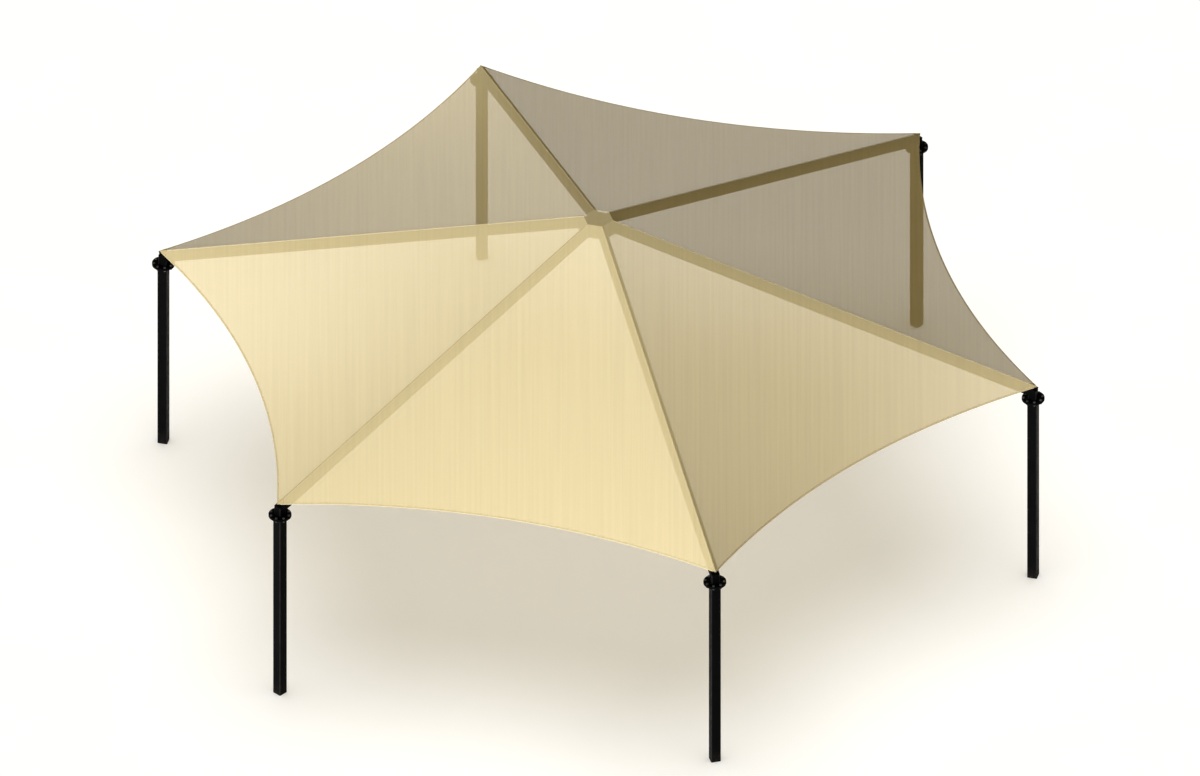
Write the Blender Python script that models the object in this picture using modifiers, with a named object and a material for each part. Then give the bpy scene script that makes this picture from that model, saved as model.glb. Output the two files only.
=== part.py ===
"""Hexagonal shade structure: six posts, six rafters meeting at a hub, and a tensioned fabric canopy.

Blender 4.5, metres, +Z up. The origin is at ground level under the middle of the canopy. Post 1 stands on
the +X axis and the others follow every 60 degrees, anticlockwise as seen from above. Canopy panel 1 lies
between posts 1 and 2, and so on round.
"""

import math

import bmesh
import bpy
from mathutils import Matrix, Vector

CORNERS = 6
STEP_ANGLE = 2 * math.pi / CORNERS
HALF_ANGLE = STEP_ANGLE / 2

# Touching pieces keep this gap
FIT_GAP = 0.0003

# Posts: square tube cut off square at the ground
POST_CIRCLE_RADIUS = 6.096
POST_SIDE = 0.1375
POST_WALL = 0.0064
POST_CORNER_RADIUS = 0.0127

# Bolted joint: a pair of round plates, one on the post and one on the elbow
FLANGE_RADIUS = 0.156
FLANGE_THICKNESS = 0.0159
FLANGE_JOINT_HEIGHT = 2.940
FLANGE_SIDES = 48

# Elbows and rafters: one smaller square tube
RAFTER_SIDE = 0.1143
RAFTER_WALL = 0.0048
RAFTER_CORNER_RADIUS = 0.0096

# Faces round each corner of a tube
CORNER_FACES = 4

# Fabric canopy
FABRIC_THICKNESS = 0.003
TIP_RADIUS = 6.160
TIP_HEIGHT = 3.141
EAVE_MID_RADIUS = 4.865
CROWN_RADIUS = 0.206
CROWN_HEIGHT = 4.811
RIDGE_LIFT = 0.046
PANEL_COLUMNS = 18
PANEL_ROWS = 8
SAG_POWER = 3

# Hub under the crown
HUB_CORE_RADIUS = 0.140
HUB_CORE_WALL = 0.0095
HUB_CORE_BOTTOM = 4.617
HUB_PLATE_RADIUS = 0.271
HUB_PLATE_THICKNESS = 0.0127
HUB_PLATE_BOTTOM = 4.659
HUB_SIDES = 48
CROWN_PLATE_THICKNESS = 0.0095
CROWN_PLATE_RADIUS = 0.146

# Lugs that hold the fabric's corners over the ends of the rafters
LUG_LENGTH = 0.100
LUG_THICKNESS = 0.008

# Cutting blocks are this large, or go this far past what they cut
MITRE_BLOCK_SIDE = 0.6
CUTTER_MARGIN = 0.1
RAFTER_SLOT_LENGTH = 1.0

# Edges bent more than this stay sharp in smooth shading
STEEL_SHARP_ANGLE = math.radians(30)
PANEL_SHARP_ANGLE = math.radians(40)

# A curve flatter than this counts as straight
STRAIGHT_BEND = 1e-9

# Values that follow from the sizes above
RIDGE_SLOPE = (CROWN_HEIGHT - TIP_HEIGHT) / (TIP_RADIUS - CROWN_RADIUS)
RIDGE_ANGLE = math.atan(RIDGE_SLOPE)
PANEL_SLOPE = RIDGE_SLOPE / math.cos(HALF_ANGLE)
CROWN_APOTHEM = CROWN_RADIUS * math.cos(HALF_ANGLE)
TIP_OUT = TIP_RADIUS * math.cos(HALF_ANGLE)
TIP_ACROSS = TIP_RADIUS * math.sin(HALF_ANGLE)
RAFTER_HALF_DEPTH = RAFTER_SIDE / 2 / math.cos(RIDGE_ANGLE)
ELBOW_FLANGE_TOP = FLANGE_JOINT_HEIGHT + FLANGE_THICKNESS
POST_TOP = FLANGE_JOINT_HEIGHT - FLANGE_THICKNESS - FIT_GAP
CROWN_PLATE_TOP = CROWN_HEIGHT - FABRIC_THICKNESS - FIT_GAP
CROWN_PLATE_BOTTOM = CROWN_PLATE_TOP - CROWN_PLATE_THICKNESS


def clear_scene():
    """Removes whatever the open file holds."""
    for item in list(bpy.context.scene.objects):
        bpy.data.objects.remove(item, do_unlink=True)


def new_collection(name):
    """Adds a collection to the scene."""
    collection = bpy.data.collections.new(name)
    bpy.context.scene.collection.children.link(collection)
    return collection


def new_material(name, colour, roughness, metallic):
    """Makes a plain Principled material."""
    material = bpy.data.materials.new(name)
    material.use_nodes = True
    shader = material.node_tree.nodes["Principled BSDF"]
    shader.inputs["Base Color"].default_value = (*colour, 1.0)
    shader.inputs["Roughness"].default_value = roughness
    shader.inputs["Metallic"].default_value = metallic
    return material


def add_object(name, mesh, collection, material=None):
    """Puts a mesh in a collection as a new object."""
    item = bpy.data.objects.new(name, mesh)
    collection.objects.link(item)
    if material is not None and not mesh.materials:
        mesh.materials.append(material)
    return item


def add_cutter(name, mesh, collection):
    """Adds a hidden object that only cuts others."""
    item = add_object(name, mesh, collection)
    item.hide_render = True
    item.display_type = "WIRE"
    return item


def finish_mesh(shape, name):
    """Turns a bmesh into a mesh."""
    mesh = bpy.data.meshes.new(name)
    shape.to_mesh(mesh)
    shape.free()
    return mesh


def box_mesh(name, size):
    """A box round the origin."""
    shape = bmesh.new()
    bmesh.ops.create_cube(shape, size=1.0, matrix=Matrix.Diagonal((*size, 1.0)))
    return finish_mesh(shape, name)


def disc_mesh(name, radius, bottom, top, sides):
    """A round or many-sided plate on the Z axis, with its first corner on +X."""
    shape = bmesh.new()
    middle = Matrix.Translation((0.0, 0.0, (bottom + top) / 2))
    bmesh.ops.create_cone(
        shape,
        cap_ends=True,
        segments=sides,
        radius1=radius,
        radius2=radius,
        depth=top - bottom,
        matrix=middle @ Matrix.Rotation(math.pi / 2, 4, "Z"),
    )
    return finish_mesh(shape, name)


def rounded_square(side, corner_radius):
    """Points anticlockwise round a square with rounded corners."""
    points = []
    for corner in range(4):
        first = corner * math.pi / 2
        middle = first + math.pi / 4
        reach = (side / 2 - corner_radius) * math.sqrt(2)
        for step in range(CORNER_FACES + 1):
            angle = first + step / CORNER_FACES * math.pi / 2
            x = reach * math.cos(middle) + corner_radius * math.cos(angle)
            y = reach * math.sin(middle) + corner_radius * math.sin(angle)
            points.append((x, y))
    return points


def sleeve_mesh(name, side, corner_radius, bottom, top):
    """The open outer skin of a square tube that stands on the Z axis."""
    shape = bmesh.new()
    outline = rounded_square(side, corner_radius)
    low = [shape.verts.new((x, y, bottom)) for x, y in outline]
    high = [shape.verts.new((x, y, top)) for x, y in outline]
    for here in range(len(outline)):
        after = (here + 1) % len(outline)
        shape.faces.new((low[here], low[after], high[after], high[here]))
    return finish_mesh(shape, name)


def add_wall(item, thickness):
    """Gives an open skin its wall, inward from the skin."""
    wall = item.modifiers.new("Wall", "SOLIDIFY")
    wall.thickness = thickness
    wall.offset = -1.0
    wall.use_even_offset = True


def add_boolean(item, other, operation):
    """Cuts one object with another, or joins it to another."""
    step = item.modifiers.new(operation.title(), "BOOLEAN")
    step.operation = operation
    step.object = other
    step.solver = "EXACT"


def baked_mesh(item, name):
    """Takes an object's mesh with its modifiers and placing, and removes the object."""
    bpy.context.view_layer.update()
    graph = bpy.context.evaluated_depsgraph_get()
    mesh = bpy.data.meshes.new_from_object(item.evaluated_get(graph))
    mesh.transform(item.matrix_world)
    mesh.name = name
    bpy.data.objects.remove(item, do_unlink=True)
    return mesh


def add_ring(name, mesh, collection, material, first_angle=0.0):
    """Sets six objects with one mesh round the Z axis."""
    for index in range(CORNERS):
        item = add_object(f"{name}_{index + 1}", mesh, collection, material)
        item.rotation_euler = (0.0, 0.0, first_angle + index * STEP_ANGLE)


def smooth_round_sides(mesh):
    """Shades rims and rounded corners smooth and keeps the other edges sharp."""
    mesh.shade_smooth()
    mesh.set_sharp_from_angle(angle=STEEL_SHARP_ANGLE)


def ridge_height(radius):
    """Height of the canopy's top along a ridge."""
    return TIP_HEIGHT + RIDGE_SLOPE * (TIP_RADIUS - radius)


def rafter_axis_height(radius):
    """Height of a rafter's middle line."""
    return ridge_height(radius) - RIDGE_LIFT - RAFTER_HALF_DEPTH


def eave_out(across_share):
    """Distance of the eave from the centre, along the line that keeps this share of the half width.

    The eave is a parabola in plan, from a corner, over its middle, to the next corner.
    """
    depth = TIP_OUT - EAVE_MID_RADIUS
    bend = depth * (across_share * math.tan(HALF_ANGLE) / TIP_ACROSS) ** 2
    if bend < STRAIGHT_BEND:
        return EAVE_MID_RADIUS
    return (1 - math.sqrt(1 - 4 * bend * EAVE_MID_RADIUS)) / (2 * bend)


def fabric_height(out, across):
    """Height of the top of the canopy panel that faces +X, at a point in plan.

    Between its two straight ridges the fabric hangs below their plane, more towards the eave, so that the
    whole eave lies level.
    """
    outer = eave_out(across / (out * math.tan(HALF_ANGLE)))
    eave_sag = PANEL_SLOPE * (TIP_OUT - outer)
    down_share = (out - CROWN_APOTHEM) / (outer - CROWN_APOTHEM)
    return CROWN_HEIGHT - PANEL_SLOPE * (out - CROWN_APOTHEM) - eave_sag * down_share ** SAG_POWER


def panel_point(across_share, down_share):
    """A point on the top of the canopy panel that faces +X."""
    inner = CROWN_APOTHEM + FIT_GAP
    out = inner + (eave_out(across_share) - inner) * down_share
    seam_gap = FIT_GAP / 2 / math.cos(HALF_ANGLE)
    across = across_share * (out * math.tan(HALF_ANGLE) - seam_gap)
    return Vector((out, across, fabric_height(out, across)))


def panel_mesh():
    """A canopy panel that faces +X: a curved sheet given its thickness straight down."""
    shape = bmesh.new()
    bmesh.ops.create_grid(shape, x_segments=PANEL_ROWS, y_segments=PANEL_COLUMNS, size=1.0)
    for vertex in shape.verts:
        down_share = (vertex.co.x + 1) / 2
        vertex.co = panel_point(vertex.co.y, down_share)
    extruded = bmesh.ops.extrude_face_region(shape, geom=list(shape.faces))
    moved = [part for part in extruded["geom"] if isinstance(part, bmesh.types.BMVert)]
    bmesh.ops.translate(shape, verts=moved, vec=(0.0, 0.0, -FABRIC_THICKNESS))
    bmesh.ops.recalc_face_normals(shape, faces=list(shape.faces))
    mesh = finish_mesh(shape, "canopy_panel")
    mesh.shade_smooth()
    mesh.set_sharp_from_angle(angle=PANEL_SHARP_ANGLE)
    return mesh


def build_posts(collection, steel):
    """Six square posts, open at both ends."""
    outline = sleeve_mesh("post_skin", POST_SIDE, POST_CORNER_RADIUS, 0.0, POST_TOP)
    skin = add_object("post_skin", outline, collection)
    skin.location.x = POST_CIRCLE_RADIUS
    add_wall(skin, POST_WALL)
    mesh = baked_mesh(skin, "post")
    smooth_round_sides(mesh)
    add_ring("post", mesh, collection, steel)


def build_flanges(collection, steel):
    """Two round plates on each post, face to face."""
    plates = (
        ("post_flange", FLANGE_JOINT_HEIGHT - FLANGE_THICKNESS, FLANGE_JOINT_HEIGHT - FIT_GAP / 2),
        ("elbow_flange", FLANGE_JOINT_HEIGHT + FIT_GAP / 2, ELBOW_FLANGE_TOP),
    )
    for name, bottom, top in plates:
        mesh = disc_mesh(name, FLANGE_RADIUS, bottom, top, FLANGE_SIDES)
        mesh.transform(Matrix.Translation((POST_CIRCLE_RADIUS, 0.0, 0.0)))
        smooth_round_sides(mesh)
        add_ring(name, mesh, collection, steel)


def mitre_cutter(name, side, cutters):
    """A block that ends at the mitre between elbow and rafter; side is 1 below it and -1 above it."""
    normal = Vector((math.cos(RIDGE_ANGLE), 0.0, -1 - math.sin(RIDGE_ANGLE))).normalized()
    corner = Vector((POST_CIRCLE_RADIUS, 0.0, rafter_axis_height(POST_CIRCLE_RADIUS)))
    block = add_cutter(name, box_mesh(name, (MITRE_BLOCK_SIDE, MITRE_BLOCK_SIDE, MITRE_BLOCK_SIDE)), cutters)
    block.rotation_euler = normal.to_track_quat("Z", "Y").to_euler()
    block.location = corner + normal * side * (MITRE_BLOCK_SIDE - FIT_GAP) / 2
    return block


def build_elbows(collection, cutters, steel):
    """Short upright tubes that stand on the upper plates and end in a mitre."""
    above = mitre_cutter("above_mitre", -1, cutters)
    bottom = ELBOW_FLANGE_TOP + FIT_GAP
    outline = sleeve_mesh("elbow_skin", RAFTER_SIDE, RAFTER_CORNER_RADIUS, bottom, TIP_HEIGHT + RAFTER_SIDE)
    skin = add_object("elbow_skin", outline, collection)
    skin.location.x = POST_CIRCLE_RADIUS
    add_wall(skin, RAFTER_WALL)
    add_boolean(skin, above, "DIFFERENCE")
    mesh = baked_mesh(skin, "elbow")
    smooth_round_sides(mesh)
    add_ring("elbow", mesh, collection, steel)


def rafter_turn():
    """Turns a piece that stands on the Z axis so that it points out and down along rafter 1."""
    return (0.0, math.pi / 2 + RIDGE_ANGLE, 0.0)


def build_rafters(collection, cutters, steel):
    """Sloping tubes, mitred at the elbow and fitted round the hub's core."""
    below = mitre_cutter("below_mitre", 1, cutters)
    core_bottom = HUB_CORE_BOTTOM - CUTTER_MARGIN
    core_top = CROWN_HEIGHT + CUTTER_MARGIN
    core_mesh = disc_mesh("core_space", HUB_CORE_RADIUS + FIT_GAP, core_bottom, core_top, HUB_SIDES)
    core = add_cutter("core_space", core_mesh, cutters)
    length = POST_CIRCLE_RADIUS / math.cos(RIDGE_ANGLE)
    outline = sleeve_mesh("rafter_skin", RAFTER_SIDE, RAFTER_CORNER_RADIUS, 0.0, length + RAFTER_SIDE)
    skin = add_object("rafter_skin", outline, collection)
    skin.location.z = rafter_axis_height(0.0)
    skin.rotation_euler = rafter_turn()
    add_wall(skin, RAFTER_WALL)
    add_boolean(skin, below, "DIFFERENCE")
    add_boolean(skin, core, "DIFFERENCE")
    mesh = baked_mesh(skin, "rafter")
    smooth_round_sides(mesh)
    add_ring("rafter", mesh, collection, steel)


def build_corner_lugs(collection, steel):
    """Upright plates on the rafters' outer ends, with their tops just under the fabric's ridges."""
    outer_end = POST_CIRCLE_RADIUS + RAFTER_SIDE / 2
    middle_radius = outer_end - LUG_LENGTH / 2 * math.cos(RIDGE_ANGLE)
    out = outer_end * math.cos(HALF_ANGLE) + LUG_THICKNESS / 2 * math.sin(HALF_ANGLE)
    across = outer_end * math.sin(HALF_ANGLE) - LUG_THICKNESS / 2 * math.cos(HALF_ANGLE)
    fold_drop = ridge_height(outer_end) - fabric_height(out, across)
    top = math.cos(RIDGE_ANGLE) * (RIDGE_LIFT - FABRIC_THICKNESS - FIT_GAP - fold_drop)
    bottom = FIT_GAP
    seat = Vector((middle_radius, 0.0, ridge_height(middle_radius) - RIDGE_LIFT))
    mesh = box_mesh("corner_lug", (LUG_LENGTH, LUG_THICKNESS, top - bottom))
    mesh.transform(Matrix.Translation((0.0, 0.0, (top + bottom) / 2)))
    mesh.transform(Matrix.Translation(seat) @ Matrix.Rotation(RIDGE_ANGLE, 4, "Y"))
    add_ring("corner_lug", mesh, collection, steel)


def build_hub(collection, cutters, steel):
    """A short pipe between the rafters' inner ends, with a round plate slotted over the rafters."""
    core_top = CROWN_PLATE_BOTTOM - FIT_GAP
    core_mesh = disc_mesh("hub_core", HUB_CORE_RADIUS, HUB_CORE_BOTTOM, core_top, HUB_SIDES)
    bore_bottom = HUB_CORE_BOTTOM - CUTTER_MARGIN
    bore_top = core_top + CUTTER_MARGIN
    bore_mesh = disc_mesh("hub_bore", HUB_CORE_RADIUS - HUB_CORE_WALL, bore_bottom, bore_top, HUB_SIDES)
    plate_top = HUB_PLATE_BOTTOM + HUB_PLATE_THICKNESS
    plate_mesh = disc_mesh("hub_plate", HUB_PLATE_RADIUS, HUB_PLATE_BOTTOM, plate_top, HUB_SIDES)
    plate = add_object("hub", plate_mesh, collection, steel)
    slot_side = RAFTER_SIDE + 2 * FIT_GAP
    for index in range(CORNERS):
        slot_mesh = box_mesh("rafter_slot", (RAFTER_SLOT_LENGTH, slot_side, slot_side))
        slot_mesh.transform(Matrix.Translation((RAFTER_SLOT_LENGTH / 2, 0.0, 0.0)))
        slot = add_cutter(f"rafter_slot_{index + 1}", slot_mesh, cutters)
        slot.rotation_euler = (0.0, RIDGE_ANGLE, index * STEP_ANGLE)
        slot.location.z = rafter_axis_height(0.0)
        add_boolean(plate, slot, "DIFFERENCE")
    add_boolean(plate, add_cutter("hub_core", core_mesh, cutters), "UNION")
    add_boolean(plate, add_cutter("hub_bore", bore_mesh, cutters), "DIFFERENCE")


def build_crown(collection, steel, fabric):
    """The round plate on the hub, and the flat hexagon of fabric that lies on it."""
    plate = disc_mesh("crown_plate", CROWN_PLATE_RADIUS, CROWN_PLATE_BOTTOM, CROWN_PLATE_TOP, HUB_SIDES)
    smooth_round_sides(plate)
    add_object("crown_plate", plate, collection, steel)
    cloth = disc_mesh("canopy_crown", CROWN_RADIUS, CROWN_HEIGHT - FABRIC_THICKNESS, CROWN_HEIGHT, CORNERS)
    add_object("canopy_crown", cloth, collection, fabric)


def build_canopy(collection, fabric):
    """Six fabric panels between the ridges."""
    add_ring("canopy_panel", panel_mesh(), collection, fabric, HALF_ANGLE)


def main():
    """Builds the whole structure."""
    clear_scene()
    structure = new_collection("hexagonal_shade_structure")
    cutters = new_collection("cutters")
    steel = new_material("black powder coated steel", (0.012, 0.012, 0.013), 0.45, 0.0)
    fabric = new_material("tan knitted fabric", (0.62, 0.53, 0.36), 0.85, 0.0)
    build_posts(structure, steel)
    build_flanges(structure, steel)
    build_elbows(structure, cutters, steel)
    build_rafters(structure, cutters, steel)
    build_corner_lugs(structure, steel)
    build_hub(structure, cutters, steel)
    build_crown(structure, steel, fabric)
    build_canopy(structure, fabric)


main()
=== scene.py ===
"""Looks of the hexagonal shade structure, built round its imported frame.

Lengths are in metres, +Z is up, and the origin is at ground level under the middle of the canopy. Post 1
stands on the +X axis, and canopy panel 1 lies between posts 1 and 2.
"""

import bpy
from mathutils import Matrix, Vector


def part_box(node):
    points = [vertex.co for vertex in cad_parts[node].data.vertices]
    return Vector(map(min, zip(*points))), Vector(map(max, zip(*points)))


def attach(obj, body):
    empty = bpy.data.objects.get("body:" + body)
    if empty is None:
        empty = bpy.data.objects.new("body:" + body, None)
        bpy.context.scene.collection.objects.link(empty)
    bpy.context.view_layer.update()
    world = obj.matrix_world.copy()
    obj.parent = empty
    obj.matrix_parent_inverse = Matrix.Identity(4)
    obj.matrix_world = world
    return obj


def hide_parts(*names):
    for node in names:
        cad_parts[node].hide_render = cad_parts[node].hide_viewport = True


bl_info = {
    "name": "Hexagonal shade structure",
    "version": (1, 0, 0),
    "blender": (4, 5, 0),
    "location": "View3D > Sidebar > Shade",
    "description": "Cloth, fittings, finishes and stage for a hexagonal shade structure",
    "category": "Add Mesh",
}

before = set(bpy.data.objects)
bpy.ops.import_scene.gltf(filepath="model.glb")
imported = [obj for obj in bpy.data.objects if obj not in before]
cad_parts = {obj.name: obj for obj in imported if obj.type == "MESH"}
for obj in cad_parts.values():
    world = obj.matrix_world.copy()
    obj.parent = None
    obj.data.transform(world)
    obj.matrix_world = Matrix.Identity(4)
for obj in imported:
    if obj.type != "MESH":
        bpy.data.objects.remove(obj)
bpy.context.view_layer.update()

import bisect
import functools
import itertools
import math

import bmesh
import bpy
from mathutils import Matrix, Vector

BODY = "root"
MILLIMETRE = 0.001
CLEARANCE = 0.1 * MILLIMETRE

# Sizes that the frame's surfaces follow
CORNERS = 6
STEP_ANGLE = 2 * math.pi / CORNERS
HALF_ANGLE = STEP_ANGLE / 2
RIDGE_TURNS = [index * STEP_ANGLE for index in range(CORNERS)]
PANEL_TURNS = [HALF_ANGLE + turn for turn in RIDGE_TURNS]
TIP_RADIUS = 6.160
TIP_HEIGHT = 3.141
EAVE_MID_RADIUS = 4.865
CROWN_RADIUS = 0.206
CROWN_HEIGHT = 4.811
RIDGE_LIFT = 0.046
SAG_POWER = 3
HUB_CORE_RADIUS = 0.140
POST_CORNER_RADIUS = 0.0127
RAFTER_SIDE = 0.1143
RAFTER_CORNER_RADIUS = 0.0096
LUG_THICKNESS = 0.008

RIDGE_SLOPE = (CROWN_HEIGHT - TIP_HEIGHT) / (TIP_RADIUS - CROWN_RADIUS)
RIDGE_ANGLE = math.atan(RIDGE_SLOPE)
PANEL_SLOPE = RIDGE_SLOPE / math.cos(HALF_ANGLE)
CROWN_APOTHEM = CROWN_RADIUS * math.cos(HALF_ANGLE)
TIP_OUT = TIP_RADIUS * math.cos(HALF_ANGLE)
TIP_ACROSS = TIP_RADIUS * math.sin(HALF_ANGLE)
EAVE_DEPTH = TIP_OUT - EAVE_MID_RADIUS

# Sizes read from the frame
POST_LOW, POST_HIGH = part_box("post_1")
POST_CIRCLE_RADIUS = (POST_LOW.x + POST_HIGH.x) / 2
POST_SIDE = POST_HIGH.y - POST_LOW.y
FLANGE_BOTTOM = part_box("post_flange_1")[0].z
FLANGE_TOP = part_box("elbow_flange_1")[1].z
LUG_LOW, LUG_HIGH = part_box("corner_lug_1")
CROWN_PLATE_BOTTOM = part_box("crown_plate")[0].z

# The cloth's top lies this far under the frame's, so that what is sewn on it ends level with the frame
SHEET_DROP = 1.4 * MILLIMETRE
SHEET_THICKNESS = 1.6 * MILLIMETRE
SHEET_COLUMNS = 64
CROWN_ROWS = 4
PANEL_ROWS = 40
CLOTH_SHARP_ANGLE = math.radians(10)
STEEL_SHARP_ANGLE = math.radians(30)


class CanopySizes(bpy.types.PropertyGroup):
    """Sizes of the cloth's edges and seams"""

    hem_width: bpy.props.FloatProperty(
        name="Hem width", description="Width of the pocket along each eave",
        default=0.027, min=0.02, max=0.06, subtype="DISTANCE", unit="LENGTH")
    hem_inset: bpy.props.FloatProperty(
        name="Hem inset", description="How far from the ridge each eave's pocket ends",
        default=0.038, min=0.01, max=0.2, subtype="DISTANCE", unit="LENGTH")
    seam_width: bpy.props.FloatProperty(
        name="Seam width", description="Width of the tape over each ridge",
        default=0.022, min=0.01, max=0.06, subtype="DISTANCE", unit="LENGTH")
    patch_length: bpy.props.FloatProperty(
        name="Patch length", description="Length of each corner patch along its ridge",
        default=0.125, min=0.1, max=0.4, subtype="DISTANCE", unit="LENGTH")
    stitch_pitch: bpy.props.FloatProperty(
        name="Stitch pitch", description="Distance from one stitch to the next",
        default=0.013, min=0.004, max=0.05, subtype="DISTANCE", unit="LENGTH")
    stitch_length: bpy.props.FloatProperty(
        name="Stitch length", description="Length of one stitch",
        default=0.0085, min=0.002, max=0.04, subtype="DISTANCE", unit="LENGTH")
    cable_radius: bpy.props.FloatProperty(
        name="Cable radius", description="Radius of the edge cable in the pocket",
        default=0.004, min=0.002, max=0.008, subtype="DISTANCE", unit="LENGTH")


class FittingSizes(bpy.types.PropertyGroup):
    """Sizes of bolts and welds"""

    bolt_count: bpy.props.IntProperty(
        name="Bolts", description="Bolts in each pair of flange plates", default=8, min=4, max=16)
    bolt_circle: bpy.props.FloatProperty(
        name="Bolt circle", description="Radius of the circle that the bolts stand on",
        default=0.130, min=0.1, max=0.134, subtype="DISTANCE", unit="LENGTH")
    bolt_turn: bpy.props.FloatProperty(
        name="First bolt", description="Angle from the post's outward face to the first bolt",
        default=math.radians(22.5), subtype="ANGLE", unit="ROTATION")
    weld_radius: bpy.props.FloatProperty(
        name="Weld radius", description="Radius of the weld beads at the plates",
        default=0.005, min=0.002, max=0.01, subtype="DISTANCE", unit="LENGTH")
    ripple_pitch: bpy.props.FloatProperty(
        name="Weld ripple", description="Length of one ripple of a weld bead",
        default=0.006, min=0.003, max=0.02, subtype="DISTANCE", unit="LENGTH")


class Finishes(bpy.types.PropertyGroup):
    """Colours of cloth and steel"""

    cloth: bpy.props.FloatVectorProperty(
        name="Cloth", description="Colour of the knitted cloth", subtype="COLOR",
        default=(0.80, 0.685, 0.395), min=0, max=1)
    cloth_cover: bpy.props.FloatProperty(
        name="Cloth cover", description="Share of the light that each face of the cloth stops",
        default=0.55, min=0.1, max=1, subtype="FACTOR")
    thread: bpy.props.FloatVectorProperty(
        name="Thread", description="Colour of the sewing thread", subtype="COLOR",
        default=(0.86, 0.76, 0.52), min=0, max=1)
    steel: bpy.props.FloatVectorProperty(
        name="Powder coat", description="Colour of the coated steel", subtype="COLOR",
        default=(0.0010, 0.0010, 0.0011), min=0, max=1)
    cable: bpy.props.FloatVectorProperty(
        name="Cable", description="Colour of the edge cables", subtype="COLOR",
        default=(0.74, 0.70, 0.60), min=0, max=1)
    bolt: bpy.props.FloatVectorProperty(
        name="Bolts", description="Colour of bolts, nuts and washers", subtype="COLOR",
        default=(0.05, 0.05, 0.052), min=0, max=1)


class StageSettings(bpy.types.PropertyGroup):
    """Floor, lights and camera"""

    key_azimuth: bpy.props.FloatProperty(
        name="Key light azimuth", description="Direction that the key light comes from",
        default=math.radians(250), subtype="ANGLE", unit="ROTATION")
    key_elevation: bpy.props.FloatProperty(
        name="Key light height", description="Height of the key light over the horizon",
        default=math.radians(11), subtype="ANGLE", unit="ROTATION")
    key_strength: bpy.props.FloatProperty(
        name="Key light strength", description="Strength of the slanting light on the structure",
        default=6.2, min=0)
    top_strength: bpy.props.FloatProperty(
        name="Top light strength", description="Strength of the light on the floor from above",
        default=2.5, min=0)
    top_spread: bpy.props.FloatProperty(
        name="Top light spread", description="Width of the top light, which softens the floor's shadow",
        default=math.radians(60), subtype="ANGLE", unit="ROTATION")
    sky: bpy.props.FloatVectorProperty(
        name="Sky", description="Colour and strength of the even light all round", subtype="COLOR",
        default=(0.235, 0.205, 0.135), min=0, max=1)
    floor: bpy.props.FloatVectorProperty(
        name="Floor", description="Colour of the floor", subtype="COLOR",
        default=(0.80, 0.80, 0.80), min=0, max=1)
    floor_glow: bpy.props.FloatProperty(
        name="Floor glow", description="Light that the floor gives of its own", default=0.25, min=0)
    view_azimuth: bpy.props.FloatProperty(
        name="View azimuth", description="Direction of the camera round the structure",
        default=math.radians(15), subtype="ANGLE", unit="ROTATION")
    view_elevation: bpy.props.FloatProperty(
        name="View height", description="Height of the camera over the horizon",
        default=math.radians(35.264), subtype="ANGLE", unit="ROTATION")
    view_width: bpy.props.FloatProperty(
        name="View width", description="Width that the camera takes in",
        default=16.249, min=1, subtype="DISTANCE", unit="LENGTH")
    view_target: bpy.props.FloatVectorProperty(
        name="View target", description="Point in the middle of the camera's view",
        default=(0.022, 0.006, 1.992), subtype="TRANSLATION", unit="LENGTH")


class ShadeStructure(bpy.types.PropertyGroup):
    """All settings of the shade structure"""

    canopy: bpy.props.PointerProperty(
        type=CanopySizes, name="Canopy", description="Sizes of the cloth's edges and seams")
    fittings: bpy.props.PointerProperty(
        type=FittingSizes, name="Fittings", description="Sizes of bolts and welds")
    finishes: bpy.props.PointerProperty(
        type=Finishes, name="Finishes", description="Colours of cloth and steel")
    stage: bpy.props.PointerProperty(
        type=StageSettings, name="Stage", description="Floor, lights and camera")


# Node helpers

def add_node(tree, kind, inputs=None, **properties):
    """Adds a node, sets its properties, then sets or links its inputs by name or number."""
    made = tree.nodes.new(kind)
    for name, value in properties.items():
        setattr(made, name, value)
    for key, value in (inputs or {}).items():
        if isinstance(value, bpy.types.NodeSocket):
            tree.links.new(value, made.inputs[key])
        else:
            made.inputs[key].default_value = value
    return made


def output_of(tree, kind, inputs=None, **properties):
    """Adds a node and gives its first output."""
    return add_node(tree, kind, inputs, **properties).outputs[0]


SOCKET_TYPES = {int: "NodeSocketInt", float: "NodeSocketFloat"}


def node_group(name, inputs, kind="ShaderNodeTree", output_type="NodeSocketFloat"):
    """Turns a function that fills a node tree into one that gives the finished group, built only once.

    inputs holds each socket's default, or its type where it has none. The function gets the tree and its
    inputs, and gives the tree's outputs by name.
    """
    def wrap(fill):
        @functools.wraps(fill)
        def give():
            found = bpy.data.node_groups.get(name)
            if found:
                return found
            tree = bpy.data.node_groups.new(name, kind)
            for label, default in inputs.items():
                socket_type = SOCKET_TYPES.get(type(default), default)
                socket = tree.interface.new_socket(name=label, in_out="INPUT", socket_type=socket_type)
                if default != socket_type:
                    socket.default_value = default
            outputs = fill(tree, tree.nodes.new("NodeGroupInput").outputs)
            for label in outputs:
                tree.interface.new_socket(name=label, in_out="OUTPUT", socket_type=output_type)
            add_node(tree, "NodeGroupOutput", outputs)
            return tree
        return give
    return wrap


def maths(tree, operation, first, second=0.0, third=0.0):
    """One step of arithmetic in a node tree."""
    return output_of(tree, "ShaderNodeMath", {0: first, 1: second, 2: third}, operation=operation)


def mix_colours(tree, factor, first, second, blend="MIX"):
    """Blends two colours in a shader tree."""
    inputs = {0: factor, 6: first, 7: second}
    return add_node(tree, "ShaderNodeMix", inputs, data_type="RGBA", blend_type=blend).outputs[2]


def map_range(tree, value, low, high, new_low, new_high):
    """Brings a value from one range to another, and no further."""
    return output_of(tree, "ShaderNodeMapRange", {0: value, 1: low, 2: high, 3: new_low, 4: new_high})


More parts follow.
